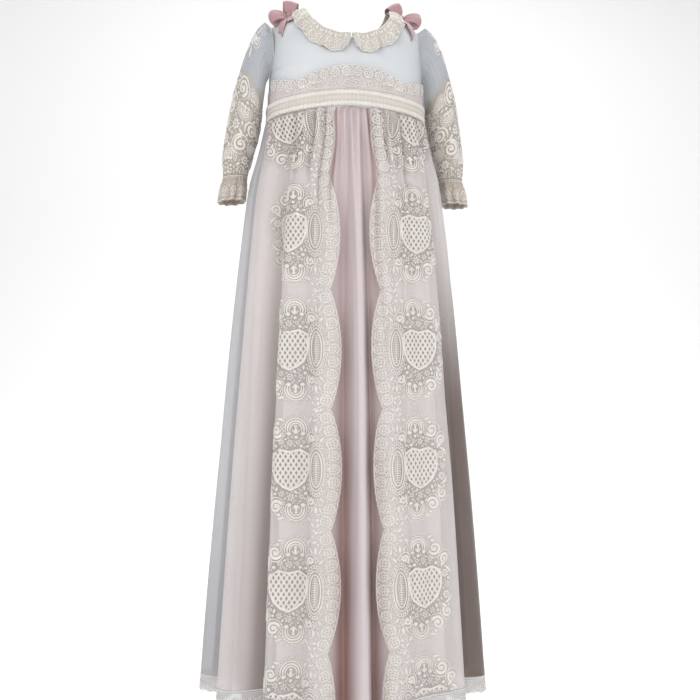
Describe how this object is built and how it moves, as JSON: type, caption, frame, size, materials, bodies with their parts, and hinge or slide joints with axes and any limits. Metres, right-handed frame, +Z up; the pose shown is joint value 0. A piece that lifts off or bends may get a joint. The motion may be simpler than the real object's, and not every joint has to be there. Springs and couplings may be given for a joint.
{
  "type": "lace gown",
  "caption": "Long baby christening gown in net with scalloped lace over a satin lining, with long sleeves, a ruffled collar and shoulder bows, filled out as worn and hollow.",
  "frame": {"origin": "middle of the neck at the height of the shoulder seams, where the gown hangs from its wearer's shoulders", "axes": "+Z up along the body towards the neck, front towards -Y, the wearer's left side towards +X"},
  "size_m": [0.3919, 0.3054, 0.9281],
  "materials": {
    "ivory_satin": "soft satin",
    "net": "fine net with raised lace work",
    "ivory_lace": "matt corded lace",
    "pink_satin": "satin",
    "rose_ribbon": "soft ribbon",
    "pearl_button": "pearl"
  },
  "bodies": {
    "root": {"bodice_front": "ivory_satin", "bodice_back_left": "ivory_satin", "bodice_back_right": "ivory_satin", "waist_sash": "pink_satin", "waist_lace": "ivory_lace", "waist_braid": "ivory_lace", "underskirt_front": "pink_satin", "underskirt_back": "pink_satin", "overskirt_front_left": "net", "overskirt_front_right": "net", "overskirt_back": "net", "hem_lace_front_left": "ivory_lace", "hem_lace_front_right": "ivory_lace", "hem_lace_back": "ivory_lace", "sleeve_left": "net", "sleeve_right": "net", "cuff_frill_left": "ivory_lace", "cuff_frill_right": "ivory_lace", "collar_left": "ivory_lace", "collar_right": "ivory_lace", "bow_left_loop_inner": "rose_ribbon", "bow_left_loop_outer": "rose_ribbon", "bow_left_tail_inner": "rose_ribbon", "bow_left_tail_outer": "rose_ribbon", "bow_left_knot": "rose_ribbon", "bow_right_loop_inner": "rose_ribbon", "bow_right_loop_outer": "rose_ribbon", "bow_right_tail_inner": "rose_ribbon", "bow_right_tail_outer": "rose_ribbon", "bow_right_knot": "rose_ribbon", "button_1": "pearl_button", "button_2": "pearl_button", "button_3": "pearl_button"}
  },
  "joints": []
}
